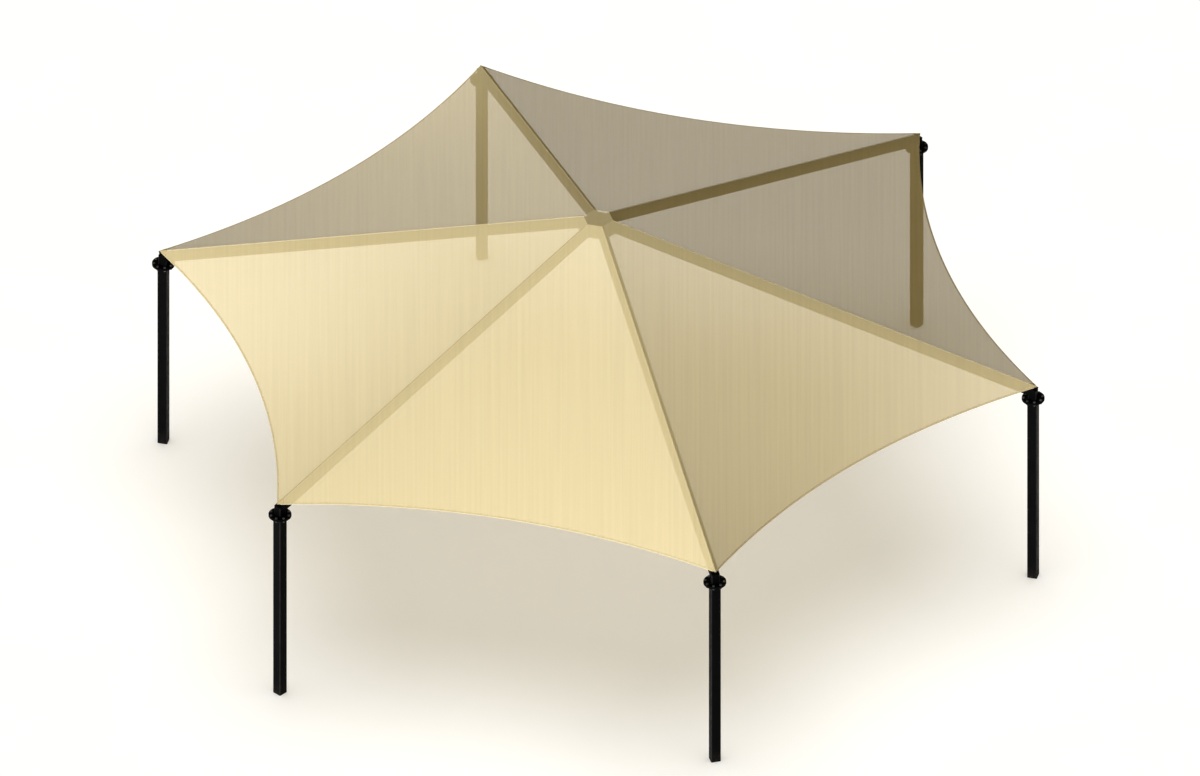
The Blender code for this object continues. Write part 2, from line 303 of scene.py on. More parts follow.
def noise(tree, vector, scale, detail, roughness=0.5, dimensions="3D"):
    """A cloudy value between 0 and 1."""
    inputs = {"Vector": vector, "Scale": scale, "Detail": detail, "Roughness": roughness}
    return add_node(tree, "ShaderNodeTexNoise", inputs, noise_dimensions=dimensions).outputs["Fac"]


def parts(tree, vector):
    """The three parts of a vector."""
    return add_node(tree, "ShaderNodeSeparateXYZ", {0: vector}).outputs


def combined(tree, x=0.0, y=0.0, z=0.0):
    """A vector from its three parts."""
    return output_of(tree, "ShaderNodeCombineXYZ", {0: x, 1: y, 2: z})


# Shared shader effects

@node_group("knit", {
    "Vector": "NodeSocketVector", "Chain Width": 0.003, "Stitch Height": 0.004, "Contrast": 0.1})
def knit_group(tree, given):
    """Raised chains of a knitted cloth, with slanting threads between them, and a tone of painted shade that
    is darker where the knit is low.
    """
    place = parts(tree, given["Vector"])
    across = maths(tree, "DIVIDE", place[0], given["Chain Width"])
    along = maths(tree, "DIVIDE", place[1], given["Stitch Height"])
    chain = maths(tree, "COSINE", maths(tree, "MULTIPLY", across, 2 * math.pi))
    chain = map_range(tree, chain, -1.0, 1.0, 0.0, 1.0)
    zigzag = maths(tree, "PINGPONG", across, 0.5)
    slant = maths(tree, "MULTIPLY", maths(tree, "ADD", along, zigzag), 2 * math.pi)
    thread = map_range(tree, maths(tree, "COSINE", slant), -1.0, 1.0, 0.0, 0.55)
    height = maths(tree, "MAXIMUM", maths(tree, "POWER", chain, 2.0), thread)
    # Painted shade: the tone follows the height, darker between the chains and lighter on their tops.
    off_middle = maths(tree, "SUBTRACT", height, 0.5)
    return {"Tone": maths(tree, "MULTIPLY_ADD", off_middle, given["Contrast"], 1.0), "Height": height}


@node_group("warp streaks", {
    "Vector": "NodeSocketVector", "Direction": 0.0, "Width": 0.04, "Length": 4.0, "Contrast": 0.05})
def streak_group(tree, given):
    """Long faint streaks that run one way, as in cloth off a warp knitting machine."""
    turn = {"Vector": given["Vector"], "Rotation": combined(tree, z=given["Direction"])}
    place = parts(tree, output_of(tree, "ShaderNodeVectorRotate", turn, rotation_type="EULER_XYZ"))
    across = maths(tree, "DIVIDE", place[0], given["Width"])
    along = maths(tree, "DIVIDE", place[1], given["Length"])
    spot = combined(tree, across, along)
    clouds = noise(tree, spot, scale=1.0, detail=2.0, roughness=0.6, dimensions="2D")
    spread = map_range(tree, clouds, 0.3, 0.7, -1.0, 1.0)
    return {"Tone": maths(tree, "MULTIPLY_ADD", spread, given["Contrast"], 1.0)}


@node_group("powder coat", {"Vector": "NodeSocketVector", "Dimple Size": 0.0025, "Dust Height": 0.35})
def coat_group(tree, given):
    """Fine dimples and slow changes of tone of a powder coat, with dust low down."""
    place = given["Vector"]
    dimples = noise(tree, place, scale=maths(tree, "DIVIDE", 1.0, given["Dimple Size"]), detail=1.0)
    tone = map_range(tree, noise(tree, place, scale=9.0, detail=4.0), 0.3, 0.7, 0.0, 1.0)
    rise = maths(tree, "DIVIDE", parts(tree, place)[2], given["Dust Height"])
    low = maths(tree, "POWER", map_range(tree, rise, 0.0, 1.0, 1.0, 0.0), 2.0)
    specks = map_range(tree, noise(tree, place, scale=55.0, detail=6.0), 0.42, 0.62, 0.0, 1.0)
    return {"Height": dimples, "Tone": tone, "Dust": maths(tree, "MULTIPLY", low, specks)}


@node_group("painted corner highlights", {"Normal": "NodeSocketVector", "Vector": "NodeSocketVector"})
def corner_highlight_group(tree, given):
    """Painted highlight along the upright corners of the square tubes at the six posts, broken into patches
    by noise.

    A flat side faces straight out from the middle of the structure, so the corners face 45 degrees off that.
    """
    place, facing = parts(tree, given["Vector"]), parts(tree, given["Normal"])
    post = maths(tree, "DIVIDE", maths(tree, "ARCTAN2", place[1], place[0]), STEP_ANGLE)
    out = maths(tree, "MULTIPLY", maths(tree, "ROUND", post), STEP_ANGLE)
    angle = maths(tree, "SUBTRACT", maths(tree, "ARCTAN2", facing[1], facing[0]), out)
    off_side = maths(tree, "PINGPONG", angle, math.radians(45))
    corner = map_range(tree, off_side, math.radians(4), math.radians(25), 0.0, 1.0)
    upright = map_range(tree, maths(tree, "ABSOLUTE", facing[2]), 0.05, 0.25, 1.0, 0.0)
    # Noise breaks the painted highlight into patches.
    highlight_patches = map_range(tree, noise(tree, given["Vector"], scale=14.0, detail=5.0), 0.3, 0.6, 0.35, 1.0)
    return {"Mask": maths(tree, "MULTIPLY", maths(tree, "MULTIPLY", corner, upright), highlight_patches)}


# Materials

CLOTH_CHAIN_WIDTH = 0.003
PATCH_CHAIN_WIDTH = 0.004
KNIT_ASPECT = 1.4
STREAK_DIRECTION = math.radians(-15)
DUST_HEIGHT = 0.3
DUST_ROUGHNESS = 0.3
DUST_COLOUR = (0.09, 0.08, 0.065, 1.0)
# Colour and strength of the painted highlight on the upright tube corners
CORNER_HIGHLIGHT_COLOUR = (0.06, 0.06, 0.062, 1.0)
TUBE_CORNER_HIGHLIGHT = 0.25
STRAND_WIDTH = 0.0042
STRAND_PITCH = 0.009


def kept_material(build):
    """Lets a function build a material only where the file has none of that name."""
    @functools.wraps(build)
    def give(name, *values, **named):
        return bpy.data.materials.get(name) or build(name, *values, **named)
    return give


def new_material(name, roughness, specular=0.5, metallic=0.0):
    """A material with one Principled shader, and (tree, shader) to finish it."""
    material = bpy.data.materials.new(name)
    material.use_nodes = True
    tree = material.node_tree
    shader = tree.nodes["Principled BSDF"]
    shader.inputs["Roughness"].default_value = roughness
    shader.inputs["Specular IOR Level"].default_value = specular
    shader.inputs["Metallic"].default_value = metallic
    return material, tree, shader


def place_group(tree, group, inputs):
    """Places a shared effect in a material."""
    return add_node(tree, "ShaderNodeGroup", inputs, node_tree=group).outputs


def coordinates(tree, output):
    """Object or UV coordinates."""
    return tree.nodes.new("ShaderNodeTexCoord").outputs[output]


def scaled(tree, colour, factor):
    """A colour made lighter or darker by a value."""
    level = output_of(tree, "ShaderNodeCombineColor", {0: factor, 1: factor, 2: factor})
    return mix_colours(tree, 1.0, (*colour, 1.0), level, "MULTIPLY")


def set_bump(tree, shader, height, distance, strength):
    """Raises the surface by a height map."""
    bump = output_of(tree, "ShaderNodeBump", {"Strength": strength, "Distance": distance, "Height": height})
    tree.links.new(bump, shader.inputs["Normal"])


@kept_material
def cloth_material(name, colour, cover, chain_width=CLOTH_CHAIN_WIDTH):
    """Knitted cloth that lets part of the light through."""
    material, tree, shader = new_material(name, roughness=0.92, specular=0.1)
    knit = place_group(tree, knit_group(), {
        "Vector": coordinates(tree, "UV"), "Chain Width": chain_width,
        "Stitch Height": chain_width * KNIT_ASPECT, "Contrast": 0.10})
    streaks = place_group(tree, streak_group(), {
        "Vector": coordinates(tree, "Object"), "Direction": STREAK_DIRECTION,
        "Width": 0.035, "Length": 4.0, "Contrast": 0.03})
    # The knit's tone is painted shade in the low parts of the knit; the streaks' tone is a pattern.
    tone = maths(tree, "MULTIPLY", knit["Tone"], streaks["Tone"])
    tree.links.new(scaled(tree, colour, tone), shader.inputs["Base Color"])
    shader.inputs["Alpha"].default_value = cover
    set_bump(tree, shader, knit["Height"], distance=0.0005, strength=0.35)
    return material


@kept_material
def steel_material(
        name, colour, specular, metallic, dimple_size, tones, roughness, bump, dust=0.0, corner_highlight=0.0):
    """Steel with dimples and a slowly changing tone, and where asked a painted highlight along the upright
    corners of tubes.

    tones and roughness each give the two ends of a range, and bump gives (distance, strength).
    """
    material, tree, shader = new_material(name, roughness[0], specular, metallic)
    place = coordinates(tree, "Object")
    coat = place_group(tree, coat_group(), {
        "Vector": place, "Dimple Size": dimple_size, "Dust Height": DUST_HEIGHT})
    shade = scaled(tree, colour, map_range(tree, coat["Tone"], 0.0, 1.0, *tones))
    rough = map_range(tree, coat["Tone"], 0.0, 1.0, *roughness)
    if dust:
        shade = mix_colours(tree, maths(tree, "MULTIPLY", coat["Dust"], dust), shade, DUST_COLOUR)
        rough = maths(tree, "MULTIPLY_ADD", coat["Dust"], DUST_ROUGHNESS, rough)
    # Painted highlight: a lighter colour along the upright corners of the tubes.
    if corner_highlight:
        normal = tree.nodes.new("ShaderNodeNewGeometry").outputs["Normal"]
        edges = place_group(tree, corner_highlight_group(), {"Normal": normal, "Vector": place})
        shade = mix_colours(tree, maths(tree, "MULTIPLY", edges["Mask"], corner_highlight), shade, CORNER_HIGHLIGHT_COLOUR)
    tree.links.new(shade, shader.inputs["Base Color"])
    tree.links.new(rough, shader.inputs["Roughness"])
    set_bump(tree, shader, coat["Height"], *bump)
    return material


def coated_steel(finishes, name="black_powder_coat", corner_highlight=0.0):
    """Black powder-coated steel, with a painted highlight along the upright corners of square tubes where
    asked.
    """
    return steel_material(
        name, finishes.steel, specular=0.02, metallic=0.0, dimple_size=0.0025, tones=(0.8, 1.3),
        roughness=(0.42, 0.56), bump=(0.0002, 0.4), dust=0.12, corner_highlight=corner_highlight)


def bolt_steel(finishes):
    """Dull plated steel of bolts, nuts, washers and sleeves."""
    return steel_material(
        "plated_bolts", finishes.bolt, specular=0.4, metallic=0.6, dimple_size=0.0012, tones=(0.75, 1.35),
        roughness=(0.32, 0.5), bump=(0.0001, 0.3))


@kept_material
def cable_steel(name, colour):
    """Stranded wire: slanting strands round the cable, with painted shade that is darker in the grooves
    between them.
    """
    material, tree, shader = new_material(name, roughness=0.45, specular=0.3, metallic=0.3)
    place = parts(tree, coordinates(tree, "UV"))
    round_strands = maths(tree, "DIVIDE", place[0], STRAND_WIDTH)
    strands = maths(tree, "ADD", round_strands, maths(tree, "DIVIDE", place[1], STRAND_PITCH))
    ridge = maths(tree, "ABSOLUTE", maths(tree, "COSINE", maths(tree, "MULTIPLY", strands, math.pi)))
    # Painted shade: darker in the grooves between strands, following the bump height.
    shade = scaled(tree, colour, map_range(tree, ridge, 0.0, 0.6, 0.6, 1.0))
    tree.links.new(shade, shader.inputs["Base Color"])
    set_bump(tree, shader, ridge, distance=0.0008, strength=0.9)
    return material


@kept_material
def thread_material(name, colour):
    """Sewing thread, twisted from fine fibres."""
    material, tree, shader = new_material(name, roughness=0.75, specular=0.2)
    fibres = noise(tree, coordinates(tree, "Object"), scale=900.0, detail=2.0)
    shade = scaled(tree, colour, map_range(tree, fibres, 0.3, 0.7, 0.85, 1.08))
    tree.links.new(shade, shader.inputs["Base Color"])
    set_bump(tree, shader, fibres, distance=0.0002, strength=0.4)
    return material


# Mesh helpers

def add_piece(name, mesh, material):
    """Puts a finished mesh in the scene as a piece that rides on the structure."""
    piece = bpy.data.objects.new(name, mesh)
    bpy.context.scene.collection.objects.link(piece)
    mesh.materials.clear()
    mesh.materials.append(material)
    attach(piece, BODY)
    return piece


def finish_shape(shape, name, sharp_angle):
    """Turns a bmesh with closed shells into a smooth mesh with sharp edges where it bends more."""
    bmesh.ops.recalc_face_normals(shape, faces=list(shape.faces))
    mesh = bpy.data.meshes.new(name)
    shape.to_mesh(mesh)
    shape.free()
    mesh.shade_smooth()
    mesh.set_sharp_from_angle(angle=sharp_angle)
    return mesh


def turned(point, angle):
    """A point turned round the Z axis."""
    return Matrix.Rotation(angle, 3, "Z") @ point


def evenly(first, last, count):
    """Values from first to last in this many equal steps."""
    return [first + (last - first) * step / count for step in range(count + 1)]


def set_places(face, uv_layer, places):
    """Puts the corners of a face on the UV map."""
    for corner, place in zip(face.loops, places):
        corner[uv_layer].uv = place


def loft(shape, stations, uv_layer=None, around=(), along=()):
    """Joins closed outlines, one after another, into a tube or band with flat ends.

    For a UV map, around holds a width for each point of an outline, and along a length for each outline.
    """
    rows = [[shape.verts.new(point) for point in station] for station in stations]
    count = len(rows[0])
    for row in range(len(rows) - 1):
        for here in range(count):
            after = (here + 1) % count
            face = shape.faces.new(
                (rows[row][here], rows[row][after], rows[row + 1][after], rows[row + 1][here]))
            if uv_layer:
                left, right, low, high = around[here], around[here + 1], along[row], along[row + 1]
                set_places(face, uv_layer, ((left, low), (right, low), (right, high), (left, high)))
    shape.faces.new(rows[0])
    shape.faces.new(rows[-1])


def loft_six(name, turns, bands, widths):
    """A mesh of the same bands, each (sections, lengths), turned to all six panels or ridges."""
    shape = bmesh.new()
    uv_layer = shape.loops.layers.uv.new("UVMap")
    for turn in turns:
        for sections, lengths in bands:
            stations = [[turned(point, turn) for point in section] for section in sections]
            loft(shape, stations, uv_layer, widths, lengths)
    return finish_shape(shape, name, STEEL_SHARP_ANGLE)


def widths_round(outline):
    """Distance round a closed flat outline, from its first point to each point and back."""
    return [0.0, *itertools.accumulate(map(math.dist, outline, outline[1:] + outline[:1]))]


def arc_points(centre, radius, first, last, count):
    """Points on an arc, angles in degrees."""
    points = []
    for angle in map(math.radians, evenly(first, last, count - 1)):
        points.append((centre[0] + radius * math.cos(angle), centre[1] + radius * math.sin(angle)))
    return points


def circle_points(radius, sides):
    """Points round a circle."""
    return arc_points((0.0, 0.0), radius, 0, 360 * (1 - 1 / sides), sides)


def rounded_square(side, corner_radius, corner_steps=5):
    """Points anticlockwise round a square with rounded corners."""
    reach = side / 2 - corner_radius
    points = []
    for corner in range(4):
        sign_x = 1 if corner in (0, 3) else -1
        sign_y = 1 if corner in (0, 1) else -1
        middle = (sign_x * reach, sign_y * reach)
        points += arc_points(middle, corner_radius, corner * 90, corner * 90 + 90, corner_steps)
    return points


# The surface of the cloth, for the panel that faces +X

def eave_line(across):
    """Distance out to the frame's eave, and how fast it changes, at a place along the eave."""
    share = across / TIP_ACROSS
    return EAVE_MID_RADIUS + EAVE_DEPTH * share ** 2, 2 * EAVE_DEPTH * share / TIP_ACROSS


def eave_out(across_share):
    """Distance out to the eave along the line that keeps this share of the panel's half width."""
    bend = EAVE_DEPTH * (across_share * math.tan(HALF_ANGLE) / TIP_ACROSS) ** 2
    if bend < 1e-9:
        return EAVE_MID_RADIUS
    return (1 - math.sqrt(1 - 4 * bend * EAVE_MID_RADIUS)) / (2 * bend)


def cloth_height(out, across):
    """Height of the cloth's top: it hangs under the plane of its two ridges, most at the eave."""
    outer = eave_out(across / (out * math.tan(HALF_ANGLE)))
    eave_sag = PANEL_SLOPE * (TIP_OUT - outer)
    down_share = (out - CROWN_APOTHEM) / (outer - CROWN_APOTHEM)
    top = CROWN_HEIGHT - PANEL_SLOPE * (out - CROWN_APOTHEM) - eave_sag * down_share ** SAG_POWER
    return top - SHEET_DROP


def cloth_slopes(out, across):
    """How fast the cloth's height changes outwards and across."""
    step = MILLIMETRE
    outwards = (cloth_height(out + step, across) - cloth_height(out - step, across)) / (2 * step)
    sideways = (cloth_height(out, across + step) - cloth_height(out, across - step)) / (2 * step)
    return outwards, sideways


EAVE_SAMPLES = 400
EAVE_PLACES = evenly(-TIP_ACROSS, TIP_ACROSS, EAVE_SAMPLES)
EAVE_POINTS = [(place, eave_line(place)[0]) for place in EAVE_PLACES]
EAVE_LENGTHS = [0.0, *itertools.accumulate(map(math.dist, EAVE_POINTS, EAVE_POINTS[1:]))]
EAVE_LENGTH = EAVE_LENGTHS[-1]


def eave_place(length):
    """Place across an eave at a length along it."""
    step = min(max(bisect.bisect_right(EAVE_LENGTHS, length) - 1, 0), EAVE_SAMPLES - 1)
    share = (length - EAVE_LENGTHS[step]) / (EAVE_LENGTHS[step + 1] - EAVE_LENGTHS[step])
    return EAVE_PLACES[step] + share * (EAVE_PLACES[step + 1] - EAVE_PLACES[step])


def eave_axes(length):
    """A point of the eave on the cloth's top, and the directions into the cloth and up from it."""
    across = eave_place(length)
    out, slope = eave_line(across)
    run = math.hypot(1.0, slope)
    inward = Vector((-1 / run, slope / run, 0.0))
    along = Vector((slope / run, 1 / run, 0.0))
    outwards, sideways = cloth_slopes(out, across)
    inward.z = inward.x * outwards + inward.y * sideways
    along.z = along.x * outwards + along.y * sideways
    inward.normalize()
    up = inward.cross(along)
    if up.z < 0:
        up = -up
    return Vector((out, across, cloth_height(out, across))), inward, up.normalized()


HEM_STATIONS = 120

# Angle in plan between an eave and the ridge, at a corner
CORNER_ANGLE = math.pi / 2 - math.atan(eave_line(TIP_ACROSS)[1]) - HALF_ANGLE


def end_length(inset, clear):
    """Length from the corner at which a line this far into the cloth is this far from the ridge."""
    return (clear + inset * math.cos(CORNER_ANGLE)) / math.sin(CORNER_ANGLE)


def eave_row(inset, lift, clear):
    """Points along an eave, into the cloth and up from it, each with the direction up from the cloth.

    The row's ends are cut along the ridges, this far from them.
    """
    end = end_length(inset, clear)
    row = []
    for length in evenly(end, EAVE_LENGTH - end, HEM_STATIONS):
        start, inward, up = eave_axes(length)
        row.append((start + inward * inset + up * lift, up))
    return row


def ridge_point(radius, side, lift):
    """A point near ridge 1, on the cloth's top or over it."""
    out = radius * math.cos(HALF_ANGLE) + abs(side) * math.sin(HALF_ANGLE)
    across = radius * math.sin(HALF_ANGLE) - abs(side) * math.cos(HALF_ANGLE)
    return Vector((radius, side, cloth_height(out, across) + lift))


# Pieces of the canopy

SHEET_INSET = 10.5 * MILLIMETRE


def sheet_edge(across_share):
    """Distance out to the edge of the sheet, a little inside the eave."""
    out = eave_out(across_share)
    slant = across_share * math.tan(HALF_ANGLE)
    slope = eave_line(slant * out)[1]
    return out - SHEET_INSET * math.hypot(1.0, slope) / (1 - slope * slant)


def sheet_place(row, share):
    """A point of the sheet's top, and its place in metres on the flat panel."""
    if row <= CROWN_ROWS:
        out = CROWN_APOTHEM * row / CROWN_ROWS
        height = CROWN_HEIGHT - SHEET_DROP
    else:
        down = (row - CROWN_ROWS) / PANEL_ROWS
        out = CROWN_APOTHEM + (sheet_edge(share) - CROWN_APOTHEM) * down
        height = cloth_height(out, share * out * math.tan(HALF_ANGLE))
    across = share * out * math.tan(HALF_ANGLE)
    return Vector((out, across, height)), (across, out / math.cos(math.atan(PANEL_SLOPE)))


def build_canopy_cloth(finishes):
    """One sheet over all six panels and the crown, closed round its edge."""
    rows = CROWN_ROWS + PANEL_ROWS
    around = CORNERS * SHEET_COLUMNS
    shares = evenly(-1.0, 1.0, SHEET_COLUMNS)
    places = [[sheet_place(row, share) for share in shares] for row in range(rows + 1)]
    flats = [[flat for _, flat in row] for row in places]
    shape = bmesh.new()
    uv_layer = shape.loops.layers.uv.new("UVMap")
    layers = []
    for drop in (Vector(), Vector((0.0, 0.0, -SHEET_THICKNESS))):
        rings = [[shape.verts.new(places[0][0][0] + drop)] * around]
        for row in places[1:]:
            points = [turned(point + drop, turn) for turn in PANEL_TURNS for point, _ in row[:-1]]
            rings.append([shape.verts.new(point) for point in points])
        layers.append(rings)
    area = 0.0
    for rings in layers:
        for row, step in itertools.product(range(rows), range(around)):
            column, after = step % SHEET_COLUMNS, (step + 1) % around
            corners = [rings[row][step], rings[row + 1][step], rings[row + 1][after], rings[row][after]]
            inner, outer = flats[row], flats[row + 1]
            face = shape.faces.new(corners if row else corners[:3])
            set_places(face, uv_layer, (inner[column], outer[column], outer[column + 1], inner[column + 1]))
            if rings is layers[0]:
                area += face.calc_area()
    upper, lower = layers[0][-1], layers[1][-1]
    for step in range(around):
        column, after = step % SHEET_COLUMNS, (step + 1) % around
        face = shape.faces.new((upper[step], lower[step], lower[after], upper[after]))
        here, there = flats[rows][column], flats[rows][column + 1]
        set_places(face, uv_layer, (here, here, there, there))
    mesh = finish_shape(shape, "canopy_cloth", CLOTH_SHARP_ANGLE)
    material = cloth_material("knitted_cloth", finishes.cloth, finishes.cloth_cover)
    piece = add_piece("canopy_cloth", mesh, material)
    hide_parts("canopy_crown", *[f"canopy_panel_{index + 1}" for index in range(CORNERS)])
    piece["flat_area"] = area


HEM_FABRIC = 0.9 * MILLIMETRE
HEM_COVER = 0.32
HEM_PLAY = 0.3 * MILLIMETRE
CABLE_INSET = 5.4 * MILLIMETRE
CABLE_LIFT = -3.8 * MILLIMETRE


def hem_outline(width, cable_radius):
    """Section of the pocket: (into the cloth, up from its top), round the cable and back."""
    centre = (CABLE_INSET, CABLE_LIFT)
    inner = cable_radius + HEM_PLAY
    top_bend, under_bend = 12.0 * MILLIMETRE, 12.5 * MILLIMETRE
    top_fold, under_fold = width * 0.6, width * 0.75
    first_angle, last_angle = 80, 285
    under = -SHEET_THICKNESS
    outside = [(width, HEM_FABRIC), (top_fold, HEM_FABRIC), (top_bend, HEM_FABRIC + CLEARANCE)]
    outside += arc_points(centre, inner + HEM_FABRIC, first_angle, last_angle, count=11)
    outside += [
        (under_bend, -6.6 * MILLIMETRE), (under_fold, under - 1.6 * MILLIMETRE),
        (width, under - HEM_FABRIC)]
    inside = [(width, under), (under_fold, under - 0.6 * MILLIMETRE), (under_bend, -5.5 * MILLIMETRE)]
    inside += arc_points(centre, inner, last_angle, first_angle, count=9)
    inside += [(top_bend, CLEARANCE), (top_fold, 0.0), (width, 0.0)]
    return outside + inside


def build_eave_hems(canopy, finishes):
    """A sewn pocket along each eave."""
    outline = hem_outline(canopy.hem_width, canopy.cable_radius)
    rows = [[point for point, _ in eave_row(inset, lift, canopy.hem_inset)] for inset, lift in outline]
    band = (list(zip(*rows)), evenly(0.0, EAVE_LENGTH, HEM_STATIONS))
    mesh = loft_six("eave_hems", PANEL_TURNS, [band], widths_round(outline))
    add_piece("eave_hems", mesh, cloth_material("hem_cloth", finishes.cloth, HEM_COVER))


CABLE_SIDES = 12
CABLE_STATIONS = 130
CABLE_END_LENGTH = 0.16
CABLE_END_STRAIGHT = 0.03
CABLE_END_DROP = 5.2 * MILLIMETRE
CABLE_END_INSET = 8 * MILLIMETRE
CABLE_IN_SLEEVE = 0.008
LUG_GAP = 0.3 * MILLIMETRE
SLEEVE_RADIUS = 5.5 * MILLIMETRE
SLEEVE_MOUTH = 0.2 * MILLIMETRE
SLEEVE_GROOVE = 0.8 * MILLIMETRE
SLEEVE_LENGTH = 0.040
SLEEVE_SHARES = (0.0, 0.03, 0.3, 0.36, 0.42, 0.66, 0.72, 0.78, 0.95, 1.0)


def eased(value):
    """Zero to one with a soft start and end."""
    value = min(max(value, 0.0), 1.0)
    return value * value * (3 - 2 * value)


def cable_axes(length):
    """The cable's middle at a length along the eave, dipping at the corners towards the lugs."""
    near = min(length, EAVE_LENGTH - length)
    dip = 1 - eased((near - CABLE_END_STRAIGHT) / (CABLE_END_LENGTH - CABLE_END_STRAIGHT))
    start, inward, up = eave_axes(length)
    inset = CABLE_INSET + (CABLE_END_INSET - CABLE_INSET) * dip
    return start + inward * inset + up * (CABLE_LIFT - CABLE_END_DROP * dip), inward, up


def round_band(lengths, radii):
    """Round sections of a rod that follows the cable's line, and their lengths along the eave."""
    sections = []
    for length, radius in zip(lengths, radii):
        middle, inward, up = cable_axes(length)
        sections.append([middle + inward * x + up * y for x, y in circle_points(radius, CABLE_SIDES)])
    return sections, lengths


def build_edge_cables(canopy, finishes):
    """A stranded cable in each eave's pocket, with a pressed sleeve at each end against the lug."""
    girth = evenly(0.0, 2 * math.pi * canopy.cable_radius, CABLE_SIDES)
    start = end_length(CABLE_END_INSET, LUG_THICKNESS / 2 + LUG_GAP)
    cable_start = start + CABLE_IN_SLEEVE
    lengths = evenly(cable_start, EAVE_LENGTH - cable_start, CABLE_STATIONS)
    cable = round_band(lengths, [canopy.cable_radius] * len(lengths))
    mesh = loft_six("edge_cables", PANEL_TURNS, [cable], girth)
    add_piece("edge_cables", mesh, cable_steel("stranded_cable", finishes.cable))
    full, thin, end = SLEEVE_RADIUS, SLEEVE_RADIUS - SLEEVE_GROOVE, canopy.cable_radius + SLEEVE_MOUTH
    radii = (thin, full, full, thin, full, full, thin, full, full, end)
    near = [start + SLEEVE_LENGTH * share for share in SLEEVE_SHARES]
    far = [EAVE_LENGTH - length for length in near]
    sleeves = [round_band(near, radii), round_band(far, radii)]
    mesh = loft_six("cable_sleeves", PANEL_TURNS, sleeves, girth)
    add_piece("cable_sleeves", mesh, bolt_steel(finishes))


SEAM_STATIONS = 80
SEAM_FABRIC = 1.2 * MILLIMETRE
SEAM_EDGE_SHARE = 0.4
SEAM_COVER = 0.25
SEAM_CROWN_GAP = 0.6 * MILLIMETRE
SEAM_TIP_GAP = 0.05


def build_ridge_seams(canopy, finishes):
    """A folded tape sewn over each ridge, from the crown to the corner patch."""
    half = canopy.seam_width / 2
    outline = []
    for share in (-1.0, -0.9, -0.5, -0.12, 0.0, 0.12, 0.5, 0.9, 1.0):
        thickness = SEAM_EDGE_SHARE if abs(share) == 1 else 1.0
        outline.append((share * half, SEAM_FABRIC * thickness))
    outline += [(share * half, CLEARANCE) for share in (1.0, 0.5, 0.12, 0.0, -0.12, -0.5, -1.0)]
    first = CROWN_RADIUS - SEAM_CROWN_GAP
    lengths = evenly(0.0, TIP_RADIUS - SEAM_TIP_GAP - first, SEAM_STATIONS)
    sections = [[ridge_point(first + length, side, lift) for side, lift in outline] for length in lengths]
    mesh = loft_six("ridge_seams", RIDGE_TURNS, [(sections, lengths)], widths_round(outline))
    add_piece("ridge_seams", mesh, cloth_material("seam_cloth", finishes.cloth, SEAM_COVER))


PATCH_ROWS = 14
PATCH_COLUMNS = 16
PATCH_EAVE_LENGTH = 0.100
PATCH_TIP_GAP = 0.6 * MILLIMETRE
PATCH_TIP_WIDTH = 0.3 * MILLIMETRE
PATCH_LIFT = 1.5 * MILLIMETRE
PATCH_FABRIC = 0.8 * MILLIMETRE
PATCH_COVER = 0.3


def patch_point(down, side, length, lift):
    """A point of a corner patch near ridge 1: down from the tip, side from one eave to the other."""
    tip = TIP_RADIUS - PATCH_TIP_GAP / math.sin(CORNER_ANGLE)
    along = PATCH_TIP_WIDTH + down * PATCH_EAVE_LENGTH
    radius = tip - down * length
    eave_radius = tip - along * math.cos(CORNER_ANGLE)
    return ridge_point(
        radius + (eave_radius - radius) * abs(side), along * math.sin(CORNER_ANGLE) * side, lift)


def build_corner_patches(canopy, finishes):
    """A kite of heavier cloth on each corner."""
    columns = evenly(-1.0, 1.0, PATCH_COLUMNS)
    outline = [(side, PATCH_LIFT + PATCH_FABRIC) for side in columns]
    outline += [(side, PATCH_LIFT) for side in reversed(columns)]
    blunt = 0.02
    downs = [(step + blunt) / (PATCH_ROWS + blunt) for step in range(PATCH_ROWS + 1)]
    length = canopy.patch_length
    sections = [[patch_point(down, side, length, lift) for side, lift in outline] for down in downs]
    lengths = [down * length for down in downs]
    mesh = loft_six(
        "corner_patches", RIDGE_TURNS, [(sections, lengths)], evenly(0.0, PATCH_EAVE_LENGTH, len(outline)))
    material = cloth_material("patch_cloth", finishes.cloth, PATCH_COVER, PATCH_CHAIN_WIDTH)
    add_piece("corner_patches", mesh, material)


# Stitching, bolts and welds by Geometry Nodes

def run_tree(name, mesh, tree, values, material):
    """Runs a node tree on a mesh, with inputs set by socket, and keeps the result as a plain piece."""
    carrier = bpy.data.objects.new(name, mesh)
    bpy.context.scene.collection.objects.link(carrier)
    maker = carrier.modifiers.new(tree.name, "NODES")
    maker.node_group = tree
    items = tree.interface.items_tree
    sockets = {item.name: item.identifier for item in items if item.item_type == "SOCKET"}
    for label, value in {**values, "Material": material}.items():
        maker[sockets[label]] = value
    graph = bpy.context.evaluated_depsgraph_get()
    made = bpy.data.meshes.new_from_object(carrier.evaluated_get(graph))
    made.name = name
    carrier.modifiers.clear()
    bpy.data.objects.remove(carrier, do_unlink=True)
    if not made.polygons:
        raise RuntimeError(f"{name} came out empty")
    return add_piece(name, made, material)


def shape_group(name, inputs):
    """As node_group, for a geometry tree, whose function gives the shape that it makes.

    The tree ends by turning instances into plain mesh and setting the material.
    """
    sockets = {"Geometry": "NodeSocketGeometry", **inputs, "Material": "NodeSocketMaterial"}

    def wrap(fill):
        @functools.wraps(fill)
        def fill_and_end(tree, given):
            real = output_of(tree, "GeometryNodeRealizeInstances", {0: fill(tree, given)})
            ends = {"Geometry": real, "Material": given["Material"]}
            return {"Geometry": output_of(tree, "GeometryNodeSetMaterial", ends)}
        return node_group(name, sockets, "GeometryNodeTree", "NodeSocketGeometry")(fill_and_end)
    return wrap


def stepped_line(tree, mesh, pitch):
    """The lines of a mesh as curves with a point at each step."""
    lines = output_of(tree, "GeometryNodeMeshToCurve", {0: mesh})
    return output_of(tree, "GeometryNodeResampleCurve", {"Curve": lines, "Length": pitch}, mode="LENGTH")


